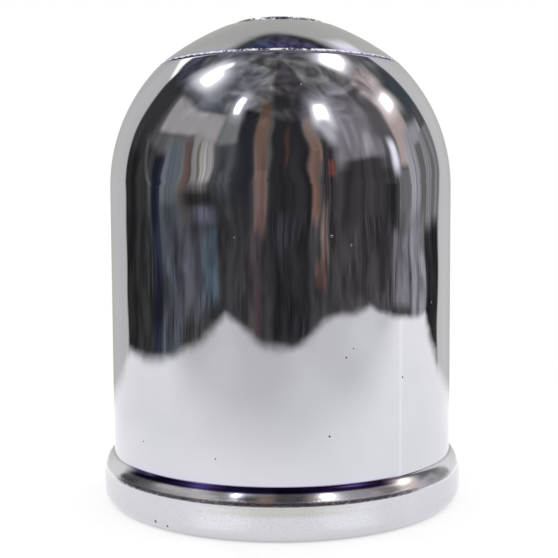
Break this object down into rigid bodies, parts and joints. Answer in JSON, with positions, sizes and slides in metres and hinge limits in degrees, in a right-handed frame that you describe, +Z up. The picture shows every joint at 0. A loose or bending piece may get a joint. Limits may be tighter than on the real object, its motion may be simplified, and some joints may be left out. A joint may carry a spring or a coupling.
{
  "type": "tow ball cover",
  "caption": "Bullet-shaped hollow cover with a rim flange, domed top and low centre button; slips over a tow ball to keep grease in and dirt off.",
  "frame": {"origin": "centre of the open rim, on the plane that the cover stands on", "axes": "+Z up along the axis of the cover, from the open rim to the domed top"},
  "size_m": [0.0594, 0.0592, 0.0777],
  "materials": {
    "plated_shell": "bright chrome plate on moulded plastic"
  },
  "bodies": {
    "root": {"cover_shell": "plated_shell"}
  },
  "joints": []
}
